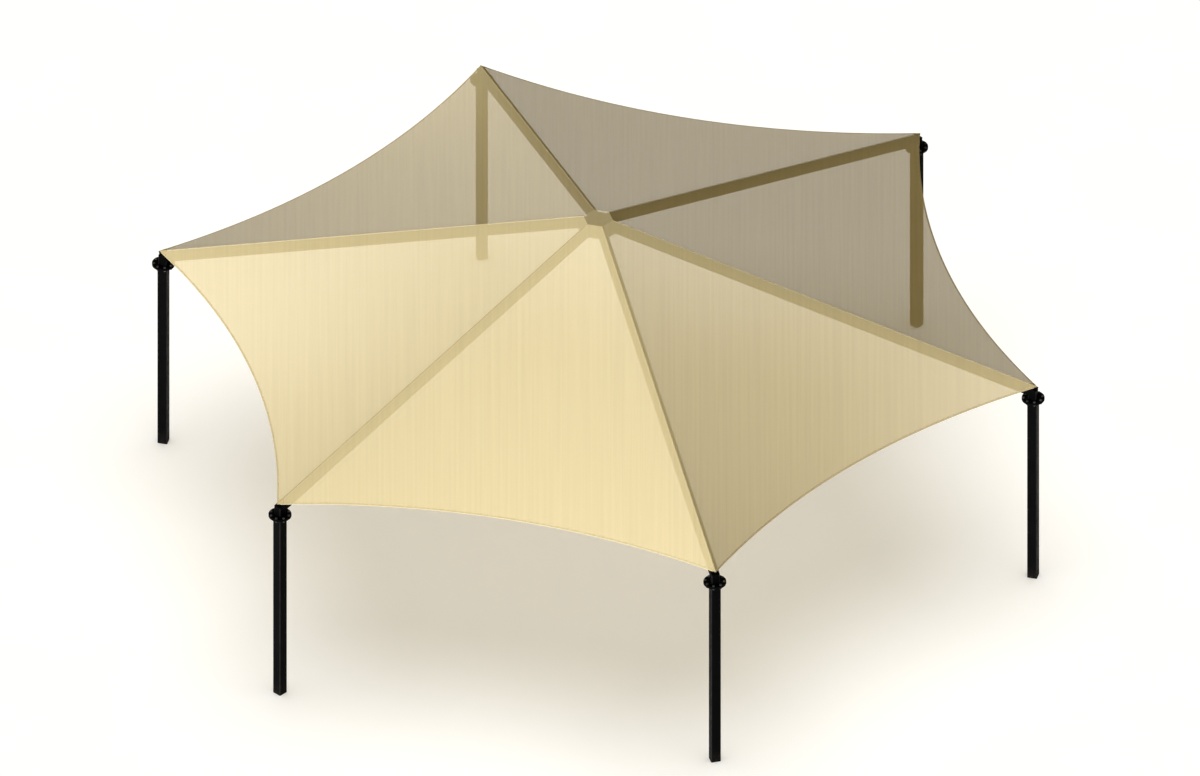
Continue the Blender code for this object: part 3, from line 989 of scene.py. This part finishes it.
@shape_group("stitch rows", {"Pitch": 0.013, "Length": 0.0085, "Thickness": 0.0012})
def stitch_tree(tree, given):
    """Stitches along lines: one small thread at each step, flat on the cloth."""
    tangent = output_of(tree, "GeometryNodeInputTangent")
    cloth_up = output_of(tree, "GeometryNodeInputNamedAttribute", {0: "cloth_up"}, data_type="FLOAT_VECTOR")
    along = output_of(tree, "FunctionNodeAlignRotationToVector", {"Vector": tangent}, axis="X")
    flat = output_of(
        tree, "FunctionNodeAlignRotationToVector", {"Rotation": along, "Vector": cloth_up},
        axis="Z", pivot_axis="X")
    bead = output_of(tree, "GeometryNodeMeshIcoSphere", {"Radius": 0.5, "Subdivisions": 1})
    return output_of(tree, "GeometryNodeInstanceOnPoints", {
        "Points": stepped_line(tree, given["Geometry"], given["Pitch"]),
        "Instance": output_of(tree, "GeometryNodeSetShadeSmooth", {"Geometry": bead}),
        "Rotation": flat,
        "Scale": combined(tree, given["Length"], given["Thickness"], given["Thickness"])})


def line_mesh(name, lines, ups=()):
    """A mesh of lines, each (points, closed), with the direction up from the cloth where it is given."""
    points, edges = [], []
    for line, closed in lines:
        first = len(points)
        points += line
        edges += [(here, here + 1) for here in range(first, len(points) - 1)]
        if closed:
            edges.append((len(points) - 1, first))
    mesh = bpy.data.meshes.new(name)
    mesh.from_pydata(points, edges, [])
    if ups:
        values = [number for up in ups for number in up]
        mesh.attributes.new("cloth_up", "FLOAT_VECTOR", "POINT").data.foreach_set("vector", values)
    return mesh


STITCH_THICKNESS = 1.2 * MILLIMETRE
STITCH_CROWN_GAP = 0.004
STITCH_PATCH_GAP = 0.012
FIRST_ROW = 3 * MILLIMETRE
SECOND_ROW = 7 * MILLIMETRE
FIRST_ROW_DROP = 1.3 * MILLIMETRE
SECOND_ROW_DROP = 2.2 * MILLIMETRE


def seam_row(side, lift, length):
    """Points along ridge 1, from the crown to the patch, each with the direction up from the cloth."""
    row = []
    for radius in evenly(CROWN_RADIUS + STITCH_CROWN_GAP, CROWN_RADIUS + length, SEAM_STATIONS):
        point = ridge_point(radius, side, lift)
        beside = ridge_point(radius, side + math.copysign(MILLIMETRE, side), lift)
        further = ridge_point(radius + MILLIMETRE, side, lift)
        up = (further - point).cross(beside - point) * math.copysign(1, side)
        row.append((point, up.normalized()))
    return row


def build_stitching(canopy, finishes):
    """Rows of stitches on the hems and seams."""
    tree, thread = stitch_tree(), thread_material("sewing_thread", finishes.thread)
    values = {"Pitch": canopy.stitch_pitch, "Length": canopy.stitch_length, "Thickness": STITCH_THICKNESS}
    width, clear = canopy.hem_width, canopy.hem_inset + FIRST_ROW
    top, under = HEM_FABRIC + CLEARANCE, -SHEET_THICKNESS
    seam_side = canopy.seam_width / 2 - FIRST_ROW
    seam_length = TIP_RADIUS - CROWN_RADIUS - canopy.patch_length - STITCH_PATCH_GAP
    hem_rows = [eave_row(width - edge, top, clear) for edge in (FIRST_ROW, SECOND_ROW)]
    hem_rows_under = [
        eave_row(width - FIRST_ROW, under - FIRST_ROW_DROP, clear),
        eave_row(width - SECOND_ROW, under - SECOND_ROW_DROP, clear)]
    seam_rows = [seam_row(side, SEAM_FABRIC + CLEARANCE, seam_length) for side in (-seam_side, seam_side)]
    for name, turns, rows in (
            ("hem_stitches", PANEL_TURNS, hem_rows), ("hem_stitches_under", PANEL_TURNS, hem_rows_under),
            ("seam_stitches", RIDGE_TURNS, seam_rows)):
        lines, ups = [], []
        for turn, row in itertools.product(turns, rows):
            lines.append(([turned(point, turn) for point, _ in row], False))
            ups += [turned(up, turn) for _, up in row]
        run_tree(name, line_mesh(name, lines, ups), tree, values, thread)


WASHER_RADIUS = 0.0185
NUT_ACROSS_FLATS = 0.030
NUT_RADIUS = NUT_ACROSS_FLATS / 2 / math.cos(math.pi / 6)
THREAD_RADIUS = 0.010
BOLT_SEED = 7

# The solids of a bolt: radius, sides, and levels of (millimetres up from the plate, share of the radius)
BOLT_OVER = (
    (WASHER_RADIUS, 20, ((0.2, 0.97), (0.8, 1.0), (2.6, 1.0), (3.2, 0.97))),
    (NUT_RADIUS, 6, ((3.4, 0.96), (4.2, 1.0), (14.0, 1.0), (16.0, 0.90))))
BOLT_UNDER = (
    (WASHER_RADIUS, 20, ((-3.2, 0.97), (-2.6, 1.0), (-0.8, 1.0), (-0.2, 0.97))),
    (NUT_RADIUS, 6, ((-19.4, 0.90), (-17.6, 1.0), (-5.2, 1.0), (-3.4, 0.92))),
    (THREAD_RADIUS, 14, ((-27.0, 0.82), (-25.4, 1.0), (-19.6, 1.0))))


def bolt_mesh():
    """One bolt through both plates: head and washer on top, washer, nut and thread end below."""
    shape = bmesh.new()
    for plate, solids in ((FLANGE_TOP, BOLT_OVER), (FLANGE_BOTTOM, BOLT_UNDER)):
        for radius, sides, levels in solids:
            loft(shape, [
                [(x, y, plate + height * MILLIMETRE) for x, y in circle_points(radius * share, sides)]
                for height, share in levels])
    return finish_shape(shape, "bolt", STEEL_SHARP_ANGLE)


@shape_group("flange bolts", {
    "Joints": 6, "Joint Radius": 6.0, "Bolts": 8, "Bolt Circle": 0.12, "First Angle": 0.0, "Seed": 7})
def bolt_tree(tree, given):
    """Bolts in a circle at each corner of the structure."""
    ring = output_of(
        tree, "GeometryNodeMeshCircle", {"Vertices": given["Bolts"], "Radius": given["Bolt Circle"]})
    first = combined(tree, z=given["First Angle"])
    ring = output_of(tree, "GeometryNodeTransform", {"Geometry": ring, "Rotation": first})
    joints = output_of(
        tree, "GeometryNodeMeshCircle", {"Vertices": given["Joints"], "Radius": given["Joint Radius"]})
    step = maths(tree, "DIVIDE", 2 * math.pi, given["Joints"])
    facing = combined(tree, z=maths(tree, "MULTIPLY", output_of(tree, "GeometryNodeInputIndex"), step))
    rings = output_of(
        tree, "GeometryNodeInstanceOnPoints", {"Points": joints, "Instance": ring, "Rotation": facing})
    twist = add_node(
        tree, "FunctionNodeRandomValue", {2: 0.0, 3: math.pi / 3, "Seed": given["Seed"]},
        data_type="FLOAT").outputs[1]
    return output_of(tree, "GeometryNodeInstanceOnPoints", {
        "Points": output_of(tree, "GeometryNodeRealizeInstances", {0: rings}),
        "Instance": given["Geometry"], "Rotation": combined(tree, z=twist)})


def build_flange_bolts(fittings, finishes):
    """Bolts, washers and nuts in every pair of flange plates."""
    values = {
        "Joints": CORNERS, "Joint Radius": POST_CIRCLE_RADIUS, "Bolts": fittings.bolt_count,
        "Bolt Circle": fittings.bolt_circle, "First Angle": fittings.bolt_turn, "Seed": BOLT_SEED}
    run_tree("flange_bolts", bolt_mesh(), bolt_tree(), values, bolt_steel(finishes))


@shape_group("weld bead", {"Bead Radius": 0.005, "Ripple Pitch": 0.006, "Ripple Depth": 0.12})
def weld_tree(tree, given):
    """A rippled bead along lines."""
    length = tree.nodes.new("GeometryNodeSplineParameter").outputs["Length"]
    wave = maths(tree, "FRACT", maths(tree, "DIVIDE", length, given["Ripple Pitch"]))
    section = output_of(
        tree, "GeometryNodeCurvePrimitiveCircle", {"Resolution": 8, "Radius": given["Bead Radius"]})
    spacing = maths(tree, "DIVIDE", given["Ripple Pitch"], 3.0)
    bead = output_of(tree, "GeometryNodeCurveToMesh", {
        "Curve": stepped_line(tree, given["Geometry"], spacing), "Profile Curve": section,
        "Scale": maths(tree, "MULTIPLY_ADD", wave, given["Ripple Depth"], 1.0), "Fill Caps": True})
    return output_of(tree, "GeometryNodeSetShadeSmooth", {"Geometry": bead})


BEAD_LIFT_SHARE = 0.25
MITRE_BEAD_SHARE = 0.9
LUG_END_LENGTH = 0.012
LUG_WELD_SHARES = (0.03, 0.5, 0.97)
CROWN_WELD_SIDES = 48
RIPPLE_DEPTH = 0.12


def weld_loops(bead):
    """Lines of the welds at corner 1: plates, mitre and lug; bead is the beads' radius."""
    lift = bead * BEAD_LIFT_SHARE
    post = rounded_square(POST_SIDE + 2 * lift, POST_CORNER_RADIUS + lift)
    elbow = rounded_square(RAFTER_SIDE + 2 * lift, RAFTER_CORNER_RADIUS + lift)
    mitre = rounded_square(RAFTER_SIDE - bead * MITRE_BEAD_SHARE, RAFTER_CORNER_RADIUS)
    half_depth = RAFTER_SIDE / 2 / math.cos(RIDGE_ANGLE)
    ridge = TIP_HEIGHT + RIDGE_SLOPE * (TIP_RADIUS - POST_CIRCLE_RADIUS)
    mitre_height = ridge - RIDGE_LIFT - half_depth
    mitre_rise = math.cos(RIDGE_ANGLE) / (1 + math.sin(RIDGE_ANGLE))
    loops = []
    for outline, height, rise in (
            (post, FLANGE_BOTTOM - lift, 0.0),
            (elbow, FLANGE_TOP + lift, 0.0),
            (mitre, mitre_height, mitre_rise)):
        loops.append(([Vector((POST_CIRCLE_RADIUS + x, y, height + x * rise)) for x, y in outline], True))
    for side in (-1, 1):
        line = []
        for share in LUG_WELD_SHARES:
            radius = LUG_LOW.x + (LUG_HIGH.x - LUG_LOW.x - LUG_END_LENGTH) * share
            seat = TIP_HEIGHT + RIDGE_SLOPE * (TIP_RADIUS - radius) - RIDGE_LIFT
            line.append(Vector((radius, side * (LUG_THICKNESS / 2 + lift), seat + lift)))
        loops.append((line, False))
    return loops


def hub_weld_loops(bead):
    """Lines of the welds at the hub: one round each rafter's inner end, and one under the crown plate."""
    lift = bead * BEAD_LIFT_SHARE
    outer = HUB_CORE_RADIUS + lift
    half_depth = RAFTER_SIDE / 2 / math.cos(RIDGE_ANGLE)
    axis_height = TIP_HEIGHT + RIDGE_SLOPE * TIP_RADIUS - RIDGE_LIFT - half_depth
    loop = []
    for side, up in rounded_square(RAFTER_SIDE + 2 * lift, RAFTER_CORNER_RADIUS + lift):
        reach = math.sqrt(outer ** 2 - side ** 2)
        along = (reach - math.sin(RIDGE_ANGLE) * up) / math.cos(RIDGE_ANGLE)
        height = axis_height - math.sin(RIDGE_ANGLE) * along + math.cos(RIDGE_ANGLE) * up
        loop.append(Vector((reach, side, height)))
    ring = [Vector((x, y, CROWN_PLATE_BOTTOM - lift)) for x, y in circle_points(outer, CROWN_WELD_SIDES)]
    return loop, ring


def build_weld_beads(fittings, finishes):
    """Welds between tubes, plates, lugs and hub."""
    bead = fittings.weld_radius
    hub_loop, crown_ring = hub_weld_loops(bead)
    lines = [(crown_ring, True)]
    for turn in RIDGE_TURNS:
        for line, closed in [*weld_loops(bead), (hub_loop, True)]:
            lines.append(([turned(point, turn) for point in line], closed))
    mesh = line_mesh("weld_beads", lines)
    values = {
        "Bead Radius": bead, "Ripple Pitch": fittings.ripple_pitch, "Ripple Depth": RIPPLE_DEPTH}
    run_tree("weld_beads", mesh, weld_tree(), values, coated_steel(finishes))


def finish_steel(finishes):
    """Gives every steel node of the frame its coat, with a painted highlight on the corners of the tubes."""
    plain = coated_steel(finishes)
    highlighted = coated_steel(finishes, "black_powder_coat_tubes", TUBE_CORNER_HIGHLIGHT)
    for name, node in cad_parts.items():
        if name.startswith("canopy"):
            continue
        tube = name.startswith(("post_", "elbow_", "rafter_")) and "flange" not in name
        for holder in node.material_slots:
            holder.material = highlighted if tube else plain


def declare_canopy():
    """Takes the flat area value off the sheet again."""
    sheet = bpy.data.objects["canopy_cloth"]
    del sheet["flat_area"]


# Stage

KEY_SPREAD = math.radians(12)
LAMP_DISTANCE = 30.0
FLOOR_RADIUS = 60.0
FLOOR_SIDES = 96
CAMERA_DISTANCE = 40.0
VIEW_DEPTH = 200.0
WHITE = (1.0, 1.0, 1.0, 1.0)


def sphere_direction(azimuth, elevation):
    """A unit vector at an azimuth from +X and an elevation over the horizon."""
    flat = math.cos(elevation)
    return Vector((flat * math.cos(azimuth), flat * math.sin(azimuth), math.sin(elevation)))


def floor_material(stage):
    """Pale floor with a little light of its own, so that shadows on it stay faint."""
    material, tree, shader = new_material("pale_floor", roughness=0.9, specular=0.0)
    clouds = noise(tree, coordinates(tree, "Object"), scale=0.6, detail=3.0)
    tone = map_range(tree, clouds, 0.3, 0.7, 0.99, 1.01)
    tree.links.new(scaled(tree, stage.floor, tone), shader.inputs["Base Color"])
    shader.inputs["Emission Color"].default_value = WHITE
    shader.inputs["Emission Strength"].default_value = stage.floor_glow
    return material


def add_sun(name, direction, strength, spread, floor, floor_state):
    """A distant soft light from a direction, which lights only the floor or all but the floor."""
    light = bpy.data.lights.new(name, "SUN")
    light.energy = strength
    light.angle = spread
    lamp = bpy.data.objects.new(name, light)
    lamp.location = direction * LAMP_DISTANCE
    lamp.rotation_euler = direction.to_track_quat("Z", "Y").to_euler()
    bpy.context.scene.collection.objects.link(lamp)
    lit = bpy.data.collections.new(f"{name}_lit")
    lit.objects.link(floor)
    lit.collection_objects[0].light_linking.link_state = floor_state
    lamp.light_linking.receiver_collection = lit


def build_stage(stage):
    """Floor, slanting light, light from above, even light all round, and the camera."""
    scene = bpy.context.scene
    shape = bmesh.new()
    bmesh.ops.create_circle(shape, cap_ends=True, segments=FLOOR_SIDES, radius=FLOOR_RADIUS)
    mesh = bpy.data.meshes.new("floor")
    shape.to_mesh(mesh)
    shape.free()
    mesh.transform(Matrix.Translation((0.0, 0.0, -MILLIMETRE)))
    mesh.materials.append(floor_material(stage))
    floor = bpy.data.objects.new("floor", mesh)
    scene.collection.objects.link(floor)

    key_direction = sphere_direction(stage.key_azimuth, stage.key_elevation)
    add_sun("key", key_direction, stage.key_strength, KEY_SPREAD, floor, "EXCLUDE")
    add_sun("top_light", Vector((0.0, 0.0, 1.0)), stage.top_strength, stage.top_spread, floor, "INCLUDE")

    world = bpy.data.worlds.new("sky")
    world.use_nodes = True
    tree = world.node_tree
    seen = tree.nodes.new("ShaderNodeLightPath").outputs["Is Camera Ray"]
    colour = mix_colours(tree, seen, (*stage.sky, 1.0), WHITE)
    tree.links.new(colour, tree.nodes["Background"].inputs["Color"])
    scene.world = world
    scene.view_settings.view_transform = "Standard"

    lens = bpy.data.cameras.new("camera")
    lens.type = "ORTHO"
    lens.ortho_scale = stage.view_width
    lens.clip_end = VIEW_DEPTH
    away = sphere_direction(stage.view_azimuth - math.pi / 2, stage.view_elevation)
    camera = bpy.data.objects.new("camera", lens)
    camera.location = Vector(stage.view_target) + away * CAMERA_DISTANCE
    camera.rotation_euler = away.to_track_quat("Z", "Y").to_euler()
    scene.collection.objects.link(camera)
    scene.camera = camera


class SHADE_OT_canopy_cloth(bpy.types.Operator):
    """Makes the one sheet of cloth over all six panels"""

    bl_idname = "shade.canopy_cloth"
    bl_label = "Canopy cloth"

    def execute(self, context):
        build_canopy_cloth(context.scene.shade_structure.finishes)
        return {"FINISHED"}


class SHADE_OT_eave_hems(bpy.types.Operator):
    """Makes the pocket along each eave"""

    bl_idname = "shade.eave_hems"
    bl_label = "Eave hems"

    def execute(self, context):
        settings = context.scene.shade_structure
        build_eave_hems(settings.canopy, settings.finishes)
        return {"FINISHED"}


class SHADE_OT_edge_cables(bpy.types.Operator):
    """Makes the cables in the hems and their end sleeves"""

    bl_idname = "shade.edge_cables"
    bl_label = "Edge cables"

    def execute(self, context):
        settings = context.scene.shade_structure
        build_edge_cables(settings.canopy, settings.finishes)
        return {"FINISHED"}


class SHADE_OT_ridge_seams(bpy.types.Operator):
    """Makes the tape over each ridge"""

    bl_idname = "shade.ridge_seams"
    bl_label = "Ridge seams"

    def execute(self, context):
        settings = context.scene.shade_structure
        build_ridge_seams(settings.canopy, settings.finishes)
        return {"FINISHED"}


class SHADE_OT_corner_patches(bpy.types.Operator):
    """Makes the heavier cloth on each corner"""

    bl_idname = "shade.corner_patches"
    bl_label = "Corner patches"

    def execute(self, context):
        settings = context.scene.shade_structure
        build_corner_patches(settings.canopy, settings.finishes)
        return {"FINISHED"}


class SHADE_OT_stitching(bpy.types.Operator):
    bl_idname = "shade.stitching"
    bl_label = "Stitching"

    def execute(self, context):
        settings = context.scene.shade_structure
        build_stitching(settings.canopy, settings.finishes)
        declare_canopy()
        return {"FINISHED"}


class SHADE_OT_flange_bolts(bpy.types.Operator):
    """Makes the bolts, nuts and washers of the flange plates"""

    bl_idname = "shade.flange_bolts"
    bl_label = "Flange bolts"

    def execute(self, context):
        settings = context.scene.shade_structure
        build_flange_bolts(settings.fittings, settings.finishes)
        return {"FINISHED"}


class SHADE_OT_weld_beads(bpy.types.Operator):
    """Makes the weld beads"""

    bl_idname = "shade.weld_beads"
    bl_label = "Weld beads"

    def execute(self, context):
        settings = context.scene.shade_structure
        build_weld_beads(settings.fittings, settings.finishes)
        return {"FINISHED"}


class SHADE_OT_steel_finish(bpy.types.Operator):
    """Gives the steel parts their powder coat"""

    bl_idname = "shade.steel_finish"
    bl_label = "Steel finish"

    def execute(self, context):
        finish_steel(context.scene.shade_structure.finishes)
        return {"FINISHED"}


class SHADE_OT_stage(bpy.types.Operator):
    """Makes the floor, the lights and the camera"""

    bl_idname = "shade.stage"
    bl_label = "Stage"

    def execute(self, context):
        build_stage(context.scene.shade_structure.stage)
        return {"FINISHED"}


OPERATORS = (
    SHADE_OT_steel_finish, SHADE_OT_canopy_cloth, SHADE_OT_eave_hems, SHADE_OT_edge_cables,
    SHADE_OT_ridge_seams, SHADE_OT_corner_patches, SHADE_OT_stitching, SHADE_OT_flange_bolts,
    SHADE_OT_weld_beads, SHADE_OT_stage)


class SHADE_PT_structure(bpy.types.Panel):
    """Settings and steps of the shade structure"""

    bl_idname = "SHADE_PT_structure"
    bl_label = "Shade structure"
    bl_space_type = "VIEW_3D"
    bl_region_type = "UI"
    bl_category = "Shade"

    def draw(self, context):
        settings = context.scene.shade_structure
        for group in (settings.canopy, settings.fittings, settings.finishes, settings.stage):
            box = self.layout.box()
            for name in group.__annotations__:
                box.prop(group, name)
        for operator in OPERATORS:
            self.layout.operator(operator.bl_idname)


CLASSES = (
    CanopySizes, FittingSizes, Finishes, StageSettings, ShadeStructure, *OPERATORS, SHADE_PT_structure)


def register():
    """Registers the classes and the settings."""
    for item in CLASSES:
        bpy.utils.register_class(item)
    bpy.types.Scene.shade_structure = bpy.props.PointerProperty(
        type=ShadeStructure, name="Shade structure", description="All settings of the shade structure")


def unregister():
    """Removes the settings and the classes."""
    del bpy.types.Scene.shade_structure
    for item in reversed(CLASSES):
        bpy.utils.unregister_class(item)


def main():
    """Builds everything in order."""
    register()
    for operator in OPERATORS:
        group, name = operator.bl_idname.split(".")
        getattr(getattr(bpy.ops, group), name)()


if __name__ == "__main__":
    main()
